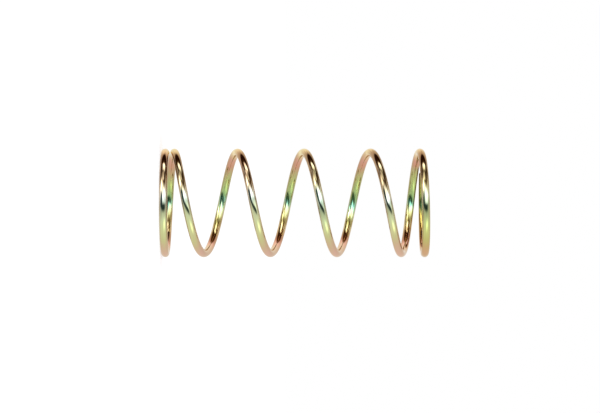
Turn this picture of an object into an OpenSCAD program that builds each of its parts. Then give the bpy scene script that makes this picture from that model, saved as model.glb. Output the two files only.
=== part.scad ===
// Compression spring for the head of a line trimmer.
// One length of round steel wire is coiled to the right round the Z axis. Both ends are
// closed: the last coil lies flat and its cut tip comes back to the coil beside it.
// The spring stands on its first coil, with that coil's lowest line at Z = 0.

/* [Wire] */
// Diameter of the wire
wire_d = 2; // [1.4:0.1:2.8]
// Width of the broken edge round each cut tip
edge_break = 0.2; // [0.05:0.05:0.4]

/* [Coils] */
// Outside diameter over the coils
outer_d = 27; // [18:0.5:40]
// Rise of one full turn where the coils are open
pitch = 16.5; // [8:0.5:24]
// Turns of wire from one cut tip to the other
total_turns = 5.85; // [5:0.01:9]
// Direction in which the lower tip points away from the axis, in degrees
tip_angle = 180; // [0:5:355]

/* [Closed ends] */
// Turns over which the pitch opens above the first coil
opening_turns = 0.7; // [0.3:0.05:1]
// Turns over which the pitch closes below the last coil
closing_turns = 1.2; // [0.3:0.05:2]
// Clear gap between each cut tip and the coil beside it
tip_gap = 0.2; // [0.1:0.05:1]

/* [Hidden] */
// Corners round the wire, and the turning angle from one ring of corners to the next
wire_sides = 16;
ring_step = 9;

wire_r = wire_d / 2;
coil_r = outer_d / 2 - wire_r;

// Over the first turn and over the last one the wire rises only enough to clear itself.
tip_rise = wire_d + tip_gap;
open_from = 1 - lead(opening_turns);
close_from = total_turns - 1 + lead(closing_turns) - closing_turns;

// Turns that a pitch easing in from nothing takes to rise by tip_rise
function lead(ease) =
    let (in_ease = sqrt(2 * ease * tip_rise / pitch))
    in_ease <= ease ? in_ease : tip_rise / pitch + ease / 2;

// Share of the full pitch reached t turns after it starts to ease in, and the sum of it
function share(t, ease) = min(max(t / ease, 0), 1);
function gain(t, ease) = t < 0 ? 0 : t < ease ? t * t / (2 * ease) : t - ease / 2;

// Height of the wire's centre line, and its rise per turn, at a place counted in turns
function height(turn) =
    wire_r + pitch * (gain(turn - open_from, opening_turns) - gain(turn - close_from, closing_turns));
function rise(turn) =
    pitch * (share(turn - open_from, opening_turns) - share(turn - close_from, closing_turns));

// Corners of one ring round the wire, square to its centre line: each corner stands r off
// that line, at an angle measured from the outward direction towards the rising side.
function ring(angle, r) =
    let (
        turn = (angle - tip_angle) / 360,
        slope = atan(rise(turn) / (2 * PI * coil_r)),
        outward = [cos(angle), sin(angle), 0],
        upward = [sin(angle) * sin(slope), -cos(angle) * sin(slope), cos(slope)],
        centre = [coil_r * cos(angle), coil_r * sin(angle), height(turn)]
    )
    [for (k = [0 : wire_sides - 1])
        let (around = 360 * k / wire_sides)
        centre + r * cos(around) * outward + r * sin(around) * upward];

// Two triangles between each pair of neighbouring corners on two neighbouring rings
function skin(rings) = [
    for (i = [0 : rings - 2], k = [0 : wire_sides - 1])
        let (
            a = i * wire_sides + k,
            b = i * wire_sides + (k + 1) % wire_sides,
            c = a + wire_sides,
            d = b + wire_sides
        )
        each [[a, b, c], [b, d, c]]
];

// The wire swept along the coils, with a flat face and a broken edge at each cut tip
module spring() {
    last_angle = tip_angle + 360 * total_turns;
    break_angle = edge_break / coil_r * 180 / PI;
    first_full = tip_angle + break_angle;
    last_full = last_angle - break_angle;
    between = [
        for (n = [ceil(first_full / ring_step) : floor(last_full / ring_step)])
            if (n * ring_step > first_full + 1 && n * ring_step < last_full - 1) n * ring_step
    ];
    full_rings = [first_full, each between, last_full];
    rings = [
        ring(tip_angle, wire_r - edge_break),
        for (angle = full_rings) ring(angle, wire_r),
        ring(last_angle, wire_r - edge_break)
    ];
    corners = [for (one = rings) each one];
    first_face = [for (k = [wire_sides - 1 : -1 : 0]) k];
    last_face = [for (k = [0 : wire_sides - 1]) len(corners) - wire_sides + k];
    color([0.8, 0.7, 0.45])
        polyhedron(corners, [first_face, each skin(len(rings)), last_face], convexity = 12);
}

spring();
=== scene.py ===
import math

import bpy
import numpy as np
from mathutils import Matrix


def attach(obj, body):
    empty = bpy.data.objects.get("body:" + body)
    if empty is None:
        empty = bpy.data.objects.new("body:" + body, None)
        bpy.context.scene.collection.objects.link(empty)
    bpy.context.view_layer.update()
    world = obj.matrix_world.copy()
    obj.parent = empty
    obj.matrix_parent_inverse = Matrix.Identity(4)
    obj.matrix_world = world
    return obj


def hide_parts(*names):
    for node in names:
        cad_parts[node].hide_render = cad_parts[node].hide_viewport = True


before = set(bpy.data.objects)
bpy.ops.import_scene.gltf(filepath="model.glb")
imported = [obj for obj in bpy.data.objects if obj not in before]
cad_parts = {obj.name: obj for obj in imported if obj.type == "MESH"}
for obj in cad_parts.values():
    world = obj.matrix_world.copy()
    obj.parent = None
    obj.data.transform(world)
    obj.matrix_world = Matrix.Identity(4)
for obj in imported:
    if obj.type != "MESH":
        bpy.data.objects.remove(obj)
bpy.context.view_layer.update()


# Spring. One length of hard-drawn round steel wire, cold wound to the right on a coiling machine.
# The coil at each end is closed and its tip is sheared off square. It is plated with bright zinc
# after winding, then dipped in a yellow chromate, whose thin film shows green, yellow and pink.

wire_d = 0.002
edge_break = 0.0002
outer_d = 0.027
pitch = 0.0165
total_turns = 5.85
tip_turn = 180 / 360
opening_turns = 0.7
closing_turns = 1.2
tip_gap = 0.0002

wire_r = wire_d / 2
coil_r = outer_d / 2 - wire_r
tip_rise = wire_d + tip_gap


def lead(ease):
    """Turns that a pitch easing in from nothing takes to rise by tip_rise: the root of twice the
    ease times that rise over the pitch, or past the ease that rise over the pitch plus half the
    ease."""
    in_ease = math.sqrt(2 * ease * tip_rise / pitch)
    return in_ease if in_ease <= ease else tip_rise / pitch + ease / 2


def share(t, ease):
    """Share of the full pitch reached t turns after it starts to ease in: t over the ease, held
    between nothing and one."""
    return np.clip(t / ease, 0, 1)


def gain(t, ease):
    """Turns' worth of full pitch gained t turns after it starts to ease in: t squared over twice
    the ease while it eases, then t less half the ease."""
    t = np.maximum(t, 0)
    return np.where(t < ease, t * t / (2 * ease), t - ease / 2)


def wound_wire(turns, radii, sides):
    """Rings of corners carried along the coiled centre line. That line keeps coil_r from the axis,
    turns once round it for each turn, and rises by pitch times what the opening has gained less
    what the closing has. A ring's corner stands its radius off the line, by the cosine of its
    angle outwards and by the sine along the direction square to both outwards and the line."""
    opened = turns - (1 - lead(opening_turns))
    closed = turns - (total_turns - 1 + lead(closing_turns) - closing_turns)
    height = wire_r + pitch * (gain(opened, opening_turns) - gain(closed, closing_turns))
    rise = pitch * (share(opened, opening_turns) - share(closed, closing_turns))
    slope = np.arctan(rise / (2 * np.pi * coil_r))
    angle = 2 * np.pi * (turns + tip_turn)
    outward = np.stack([np.cos(angle), np.sin(angle), 0 * angle], 1)
    upward = np.stack(
        [np.sin(angle) * np.sin(slope), -np.cos(angle) * np.sin(slope), np.cos(slope)], 1)
    centre = coil_r * outward + height[:, None] * np.array([0, 0, 1])
    around = (2 * np.pi * np.arange(sides) / sides)[None, :, None]
    cross = np.cos(around) * outward[:, None] + np.sin(around) * upward[:, None]
    return centre[:, None] + radii[:, None, None] * cross


sides = 48
rings_per_turn = 120
# Each tip is a flat face and a quarter round of edge_break, given as steps along the wire.
round_angle = np.radians([0, 22.5, 45, 67.5, 90])
round_steps = edge_break * (1 - np.cos(round_angle))
round_radii = wire_r - edge_break + edge_break * np.sin(round_angle)
tip_steps = np.concatenate([[0, 0], round_steps]) / (2 * np.pi * coil_r)
tip_radii = np.concatenate([[0, wire_r / 2], round_radii])
last_step = total_turns - tip_steps[-1]
between = np.linspace(tip_steps[-1], last_step, int(total_turns * rings_per_turn))[1:-1]
turns = np.concatenate([tip_steps, between, total_turns - tip_steps[::-1]])
radii = np.concatenate([tip_radii, np.full(len(between), wire_r), tip_radii[::-1]])
corners = wound_wire(turns, radii, sides)

# The first and last rings have no radius, so each is kept as one corner, the middle of a tip.
body = corners[1:-1]
points = np.concatenate([corners[:1, 0], body.reshape(-1, 3), corners[-1:, 0]])
ring, side = np.meshgrid(np.arange(len(body) - 1), np.arange(sides), indexing="ij")
ring, side = ring.ravel(), side.ravel()
after = (side + 1) % sides
quads = 1 + np.stack([ring * sides + side, ring * sides + after,
                      (ring + 1) * sides + after, (ring + 1) * sides + side], 1)
k = np.arange(sides)
last = len(points) - 1
first_fan = np.stack([0 * k, 1 + (k + 1) % sides, 1 + k], 1)
last_fan = np.stack([0 * k + last, last - sides + k, last - sides + (k + 1) % sides], 1)

mesh = bpy.data.meshes.new("wound_wire")
mesh.from_pydata(points.tolist(), [], quads.tolist() + first_fan.tolist() + last_fan.tolist())
mesh.polygons.foreach_set("use_smooth", np.ones(len(mesh.polygons), bool))

# The map gives each corner of each face two numbers: the turn, counted from the direction of +X,
# and the share of the way round the wire, counted from its outer line.
along = turns[1:-1] + tip_turn
here, there = side / sides, (side + 1) / sides
low, high = along[ring], along[ring + 1]
quad_map = np.stack([low, here, low, there, high, there, high, here], 1)
here, half, there = k / sides, (k + 0.5) / sides, (k + 1) / sides
low, high = 0 * k + along[0], 0 * k + along[-1]
first_map = np.stack([low, half, low, there, low, here], 1)
last_map = np.stack([high, half, high, here, high, there], 1)
wire_map = mesh.uv_layers.new(name="along_and_around")
face_maps = [quad_map.ravel(), first_map.ravel(), last_map.ravel()]
wire_map.data.foreach_set("uv", np.concatenate(face_maps))

# The two sheared faces are marked on their corners, so that the plating shows the tear there.
torn = np.zeros(len(body))
torn[:2] = torn[-2:] = 1.0
torn = np.concatenate([[1.0], np.repeat(torn, sides), [1.0]]).astype(np.float32)
mesh.attributes.new("sheared", "FLOAT", "POINT").data.foreach_set("value", torn)
mesh.validate()
mesh.update()

spring = bpy.data.objects.new("wound_spring", mesh)
bpy.context.scene.collection.objects.link(spring)


def linear(colour):
    """An sRGB hex colour as linear red, green, blue and alpha: a channel over 0.04045 is raised,
    less its toe, to the power 2.4, and one under it is divided by 12.92."""
    channels = [int(colour[i:i + 2], 16) / 255 for i in (0, 2, 4)]
    return [c / 12.92 if c <= 0.04045 else ((c + 0.055) / 1.055) ** 2.4 for c in channels] + [1.0]


def node(tree, kind, settings=(), links=()):
    """Adds a node, sets its properties by name and its sockets by number, and links its sockets.
    A node given as the source of a link stands for its first output."""
    made = tree.nodes.new(kind)
    for key, value in dict(settings).items():
        if isinstance(key, int):
            made.inputs[key].default_value = value
        else:
            setattr(made, key, value)
    for key, source in dict(links).items():
        output = source.outputs[0] if isinstance(source, bpy.types.Node) else source
        tree.links.new(output, made.inputs[key])
    return made


# Bright zinc under a yellow chromate film, smooth enough to mirror the room. The film is thinner
# than a wavelength of light. Its colour changes from the top of each coil to the bottom and round
# the wire, and drifts a little. It is the film's own green, yellow and pink together with painted
# reflection: dark bands where the metal, seen from the front, mirrors the dark room and flags, and
# pale bands where it mirrors the lamps.
plating = bpy.data.materials.new("yellow_chromated_zinc")
plating.use_nodes = True
tree = plating.node_tree
tree.nodes.clear()
maths, mix = "ShaderNodeMath", "ShaderNodeMix"
place = node(tree, "ShaderNodeUVMap", {"uv_map": "along_and_around"})
axes = node(tree, "ShaderNodeSeparateXYZ", {}, {0: place})
turn = axes.outputs[0]
round_wire = node(tree, maths, {"operation": "MULTIPLY", 1: 2 * math.pi}, {0: axes.outputs[1]})
outness = node(tree, maths, {"operation": "COSINE"}, {0: round_wire})
riseness = node(tree, maths, {"operation": "SINE"}, {0: round_wire})

# The wire as a straight rod in millimetres: 1 mm in radius, and 78.5 mm long for each turn.
mm_per_turn = 2000 * math.pi * coil_r
length = node(tree, maths, {"operation": "MULTIPLY", 1: mm_per_turn}, {0: turn})
rod = node(tree, "ShaderNodeCombineXYZ", {}, {0: outness, 1: riseness, 2: length})

# Blotches some 12 mm long move the colours up or down the coil. The drift is a share of the half
# turn from a coil's bottom to its top: the blotches drift by up to 0.09, which is 16 degrees.
blotch_mm = 12.5
blotch = node(tree, "ShaderNodeTexNoise", {2: 1 / blotch_mm, 3: 1.0, 4: 0.5}, {0: rod})
drift = node(tree, maths, {"operation": "MULTIPLY_ADD", 1: 0.18, 2: -0.09}, {0: blotch})
# The drawing die leaves lines along the wire. They are a few hundredths of a millimetre wide, too
# fine to show here, so they are drawn 0.3 mm wide and 8 mm long, and the film takes their shape:
# they drift by up to 0.06 more.
line_width_mm = 0.3125
line_length_mm = 7.8125
shortened = {"operation": "MULTIPLY", 1: line_width_mm / line_length_mm}
drawn = node(tree, maths, shortened, {0: length})
drawn = node(tree, "ShaderNodeCombineXYZ", {}, {0: outness, 1: riseness, 2: drawn})
die_lines = node(tree, "ShaderNodeTexNoise", {2: 1 / line_width_mm, 3: 2.0, 4: 0.6}, {0: drawn})
drift = node(tree, maths, {"operation": "MULTIPLY_ADD", 1: 0.12}, {0: die_lines, 2: drift})
drift = node(tree, maths, {"operation": "SUBTRACT", 1: 0.06}, {0: drift})

# The level runs from 0 at a coil's lowest point to 1 at its highest, and back.
half_turns = node(tree, maths, {"operation": "MULTIPLY", 1: 2.0}, {0: turn})
level = node(tree, maths, {"operation": "PINGPONG", 1: 1.0}, {0: half_turns})
drifted_level = node(tree, maths, {"operation": "ADD"}, {0: level, 1: drift})

# Each stop is a place up the coil in degrees, from -90 at its lowest point to 90 at its highest,
# and the colour there on the wire's outer line, its inner line or its two flanks: the film's hue
# with painted reflection of the room, lamps and flags as the metal shows them from the front.
# On the outer line the dark stops at 0, 24 to 34 and 52 degrees are painted shade, and the pale
# bluish stop at 8 and the pale cream from 75 to 90, the top of each coil, are painted highlights.
outer_film_and_reflection = node(tree, "ShaderNodeValToRGB", {}, {0: drifted_level})
outer_film_and_reflection_stops = (
    (-90, "CEAAA8"), (-70, "D8B0A8"), (-55, "CEB69A"), (-42, "C8C896"), (-30, "D0D8A4"),
    (-18, "CAD8AE"), (-8, "B0BC98"), (0, "8C9C8A"), (8, "DCE6DE"), (17, "D8D0B2"),
    (24, "AE9E80"), (34, "6A5A44"), (42, "CCB49A"), (52, "8A6650"), (65, "B48A68"),
    (75, "F8D4A6"), (90, "FFEEC8"))
# On the inner line the dark stops at -52, -45 and -23 degrees are painted shade, and the pale
# stops at -31 and -8 are painted highlights.
inner_film_and_reflection = node(tree, "ShaderNodeValToRGB", {}, {0: drifted_level})
inner_film_and_reflection_stops = (
    (-90, "ECD2C0"), (-70, "F2CCB6"), (-60, "F4B8A8"), (-52, "C08268"), (-45, "B0805E"),
    (-39, "CCAC7C"), (-31, "F0E2B0"), (-23, "A8A066"), (-16, "B2B074"), (-8, "DEF0BC"),
    (0, "8CD8C2"), (6, "94C088"), (16, "AAC486"), (30, "B2BE80"), (40, "B8B084"),
    (52, "CA9884"), (65, "D49A90"), (78, "E0BA9E"), (90, "F0D6B8"))
# On the flanks the colour is painted edge sheen over the film's pink, and pale yellow at the top
# of each coil, a painted highlight.
flank_film_and_sheen = node(tree, "ShaderNodeValToRGB", {}, {0: drifted_level})
flank_film_and_sheen_stops = (
    (-90, "C8A096"), (-45, "BA9888"), (20, "AC8C78"), (68, "B8947E"), (80, "D8B892"),
    (90, "FFEAC2"))
films_and_reflections = ((outer_film_and_reflection, outer_film_and_reflection_stops), (inner_film_and_reflection, inner_film_and_reflection_stops), (flank_film_and_sheen, flank_film_and_sheen_stops))
for ramp, stops in films_and_reflections:
    on_ramp = ramp.color_ramp.elements
    while len(on_ramp) < len(stops):
        on_ramp.new(0.5)
    for element, (degrees, colour) in zip(on_ramp, stops):
        element.position = (degrees + 90) / 180
        element.color = linear(colour)

to_inside = node(tree, "ShaderNodeMapRange",
                 {"interpolation_type": "SMOOTHSTEP", 1: 0.3, 2: -0.3}, {0: outness})
film_and_reflection = node(tree, mix, {"data_type": "RGBA"}, {0: to_inside, 6: outer_film_and_reflection, 7: inner_film_and_reflection})
# On the two flanks of the wire the colour turns pink, or pale yellow where the coil is highest.
# This is painted edge sheen, partly the film's own pink: the wire's edges as the metal mirrors the
# room at a grazing angle, seen from the front. The pale yellow is a painted highlight.
flank_sheen_share = node(tree, maths, {"operation": "ABSOLUTE"}, {0: riseness})
flank_sheen_share = node(tree, maths, {"operation": "POWER", 1: 3.0}, {0: flank_sheen_share})
flank_sheen_share = node(tree, maths, {"operation": "MULTIPLY", 1: 0.8}, {0: flank_sheen_share})
film_and_reflection = node(tree, mix, {"data_type": "RGBA"}, {0: flank_sheen_share, 6: film_and_reflection.outputs[2], 7: flank_film_and_sheen})
# It is thicker and more yellow all over towards the end of the last coil, which hung lowest in
# the bath. That coil's tip is at 6.35 turns.
lowest = node(tree, "ShaderNodeMapRange",
              {"interpolation_type": "SMOOTHSTEP", 1: 5.35, 2: 6.2, 4: 0.7}, {0: turn})
multiply = {"data_type": "RGBA", "blend_type": "MULTIPLY"}
yellower = multiply | {7: linear("F0DE8C")}
film_and_reflection = node(tree, mix, yellower, {0: lowest, 6: film_and_reflection.outputs[2]})
# Over some 33 mm of wire it runs a little pinker or a little greener.
cast = node(tree, "ShaderNodeTexNoise", {2: 0.03, 3: 0.0}, {0: rod})
cast = node(tree, "ShaderNodeMapRange", {1: 0.35, 2: 0.65}, {0: cast})
casts = {"data_type": "RGBA", 6: linear("FFF6EE"), 7: linear("FBFFEE")}
cast = node(tree, mix, casts, {0: cast})
film_and_reflection = node(tree, mix, multiply | {0: 1.0}, {6: film_and_reflection.outputs[2], 7: cast.outputs[2]})

# Bright plating is smooth, and the die lines and the shear's torn face keep some of their grain.
cut = node(tree, "ShaderNodeAttribute", {"attribute_name": "sheared"}).outputs["Fac"]
grain = node(tree, "ShaderNodeMapRange", {3: 0.05, 4: 0.10}, {0: die_lines})
grain = node(tree, maths, {"operation": "MULTIPLY_ADD", 1: 0.25}, {0: cut, 2: grain})
relief = node(tree, "ShaderNodeBump", {0: 0.25, 1: 0.00002}, {"Height": die_lines})
finish = node(tree, "ShaderNodeBsdfPrincipled", {1: 1.0},
              {0: film_and_reflection.outputs[2], 2: grain, "Normal": relief})
finish.inputs["Specular Tint"].default_value = (0.90, 0.86, 0.72, 1.0)
node(tree, "ShaderNodeOutputMaterial", {}, {0: finish})
mesh.materials.append(plating)

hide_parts("spring")
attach(spring, "root")


# Studio. A plain white floor and backdrop, and the lamps and dark flags that a photographer puts
# round bright metal. The lamps and flags are seen in the metal only.

# The spring's middle, half its height up, and the cells along each edge of a screen's grid.
middle = 0.0332
cells = 96


def smooth_step(x, width):
    """Rises from nothing to one over a width that lies half on each side of x = 0: three squares
    less two cubes of x over the width plus a half, held between nothing and one."""
    t = np.clip(x / width + 0.5, 0, 1)
    return t * t * (3 - 2 * t)


def bent_screen(name, heights, sides, soft, distance, glow):
    """A sheet bent round the spring's axis at a distance in mm. Heights turn round the axis from
    the camera, on -Y, over -X, the picture's top; sides turn towards +Z at the spring's middle.
    A point stands the distance off the axis and the distance times the tangent of its side angle
    along it. The sheet covers fully inside, and fades by a smooth step over its soft widths about
    its edges. All angles are in degrees."""
    a = np.linspace(heights[0] - soft[0] / 2, heights[1] + soft[0] / 2, cells + 1)
    b = np.linspace(sides[0] - soft[1] / 2, sides[1] + soft[1] / 2, cells + 1).clip(-89, 89)
    cover_a = smooth_step(a - heights[0], soft[0]) * smooth_step(heights[1] - a, soft[0])
    cover_b = smooth_step(b - sides[0], soft[1]) * smooth_step(sides[1] - b, soft[1])
    cover = (cover_a[:, None] * cover_b[None, :]).ravel().astype(np.float32)
    a, b = np.meshgrid(np.radians(a), np.radians(b), indexing="ij")
    grid = np.stack([-np.sin(a), -np.cos(a), np.tan(b)], -1) * distance / 1000
    grid = grid + np.array([0, 0, middle])
    i, j = np.meshgrid(np.arange(cells), np.arange(cells), indexing="ij")
    corner = (i * (cells + 1) + j).ravel()
    faces = np.stack([corner, corner + 1, corner + cells + 2, corner + cells + 1], 1)
    sheet = bpy.data.meshes.new(name)
    sheet.from_pydata(grid.reshape(-1, 3).tolist(), [], faces.tolist())
    sheet.attributes.new("cover", "FLOAT", "POINT").data.foreach_set("value", cover)
    made = bpy.data.objects.new(name, sheet)
    bpy.context.scene.collection.objects.link(made)
    made.visible_camera = made.visible_diffuse = False
    made.visible_shadow = made.visible_transmission = False
    surface = bpy.data.materials.new(name)
    surface.use_nodes = True
    t = surface.node_tree
    t.nodes.clear()
    strength = max(1.0, *glow)
    lit = node(t, "ShaderNodeEmission", {0: [c / strength for c in glow] + [1.0], 1: strength})
    covered = node(t, "ShaderNodeAttribute", {"attribute_name": "cover"}).outputs["Fac"]
    clear = node(t, "ShaderNodeBsdfTransparent")
    mixed = node(t, "ShaderNodeMixShader", {}, {0: covered, 1: clear, 2: lit})
    node(t, "ShaderNodeOutputMaterial", {}, {0: mixed})
    sheet.materials.append(surface)


# Each screen hangs a little nearer than the one before it and covers it where they cross. The
# last is a dark strip held close over the spring, from end to end of it and beyond.
bent_screen("rear_flag", (42, 118), (-50, 50), (14, 12), 500, (0.14, 0.075, 0.025))
bent_screen("left_flag", (-18, 26), (-82, 50), (12, 18), 496, (0.05, 0.08, 0.09))
bent_screen("front_lamp", (-1, 33), (-24, 66), (10, 16), 492, (2.10, 2.20, 2.40))
bent_screen("low_lamp", (-59, -38), (2, 46), (22, 18), 488, (1.80, 1.90, 1.60))
bent_screen("top_lamp", (73, 92), (-20, 24), (8, 10), 484, (3.2, 3.6, 3.5))
bent_screen("left_lamp", (36, 62), (-64, -24), (10, 12), 480, (4.8, 4.9, 5.0))
bent_screen("high_lamp", (50, 70), (-34, 12), (8, 10), 476, (2.4, 2.5, 2.5))
bent_screen("upper_flag", (87, 109), (-88, 88), (10, 1), 40, (0.05, 0.02, 0.006))

# The room is white to the camera and in the metal, and lights the floor at three quarters of that.
scene = bpy.context.scene
world = bpy.data.worlds.new("white_room")
world.use_nodes = True
scene.world = world
wt = world.node_tree
wt.nodes.clear()
ray = node(wt, "ShaderNodeLightPath").outputs
larger = {"operation": "MAXIMUM"}
seen = node(wt, maths, larger, {0: ray["Is Camera Ray"], 1: ray["Is Glossy Ray"]})
seen = node(wt, maths, larger, {0: seen, 1: ray["Is Transmission Ray"]})
brightness = node(wt, "ShaderNodeMapRange", {3: 0.75, 4: 1.0}, {0: seen})
air = node(wt, "ShaderNodeBackground", {0: (1, 1, 1, 1)}, {1: brightness})
node(wt, "ShaderNodeOutputWorld", {}, {0: air})

# Matt white paper, which scatters light evenly and shows no gloss. Where it is seen it also glows
# a little, so that it is as white as the room and holds the spring's shadow faintly.
reach = 6.0
floor_mesh = bpy.data.meshes.new("white_floor")
floor_corners = [(-reach, -reach, 0), (reach, -reach, 0), (reach, reach, 0), (-reach, reach, 0)]
floor_mesh.from_pydata(floor_corners, [], [(0, 1, 2, 3)])
floor = bpy.data.objects.new("white_floor", floor_mesh)
scene.collection.objects.link(floor)
paper = bpy.data.materials.new("matt_white_paper")
paper.use_nodes = True
pt = paper.node_tree
pt.nodes.clear()
ray = node(pt, "ShaderNodeLightPath").outputs
seen = node(pt, maths, larger, {0: ray["Is Camera Ray"], 1: ray["Is Glossy Ray"]})
seen = node(pt, maths, larger, {0: seen, 1: ray["Is Transmission Ray"]})
lift = node(pt, maths, {"operation": "MULTIPLY", 1: 0.42}, {0: seen})
matt = node(pt, "ShaderNodeBsdfDiffuse", {0: linear("F0F0F2")})
glow = node(pt, "ShaderNodeEmission", {0: (1, 1, 1, 1)}, {1: lift})
summed = node(pt, "ShaderNodeAddShader", {}, {0: matt, 1: glow})
node(pt, "ShaderNodeOutputMaterial", {}, {0: summed})
floor_mesh.materials.append(paper)
floor.visible_glossy = False


# Camera. It stands 0.75 m in front of the spring on -Y, level with the middle of the spring, and
# is rolled a quarter turn, so the spring lies across the picture with its top to the right.

camera_data = bpy.data.cameras.new("camera")
camera_data.sensor_width = 36.0
camera_data.lens = 181.2
camera = bpy.data.objects.new("camera", camera_data)
scene.collection.objects.link(camera)
stand = np.array([0.0009, -0.7495, 0.0344])
aim = np.array([0.0009, 0.0, 0.0344])
back = stand - aim
back /= np.linalg.norm(back)
picture_up = np.array([-1.0, 0.0, 0.0])
right = np.cross(picture_up, back)
right /= np.linalg.norm(right)
up = np.cross(back, right)
pose = np.eye(4)
pose[:3] = np.stack([right, up, back, stand], 1)
camera.matrix_world = Matrix(pose.tolist())
scene.camera = camera
scene.view_settings.view_transform = "Standard"
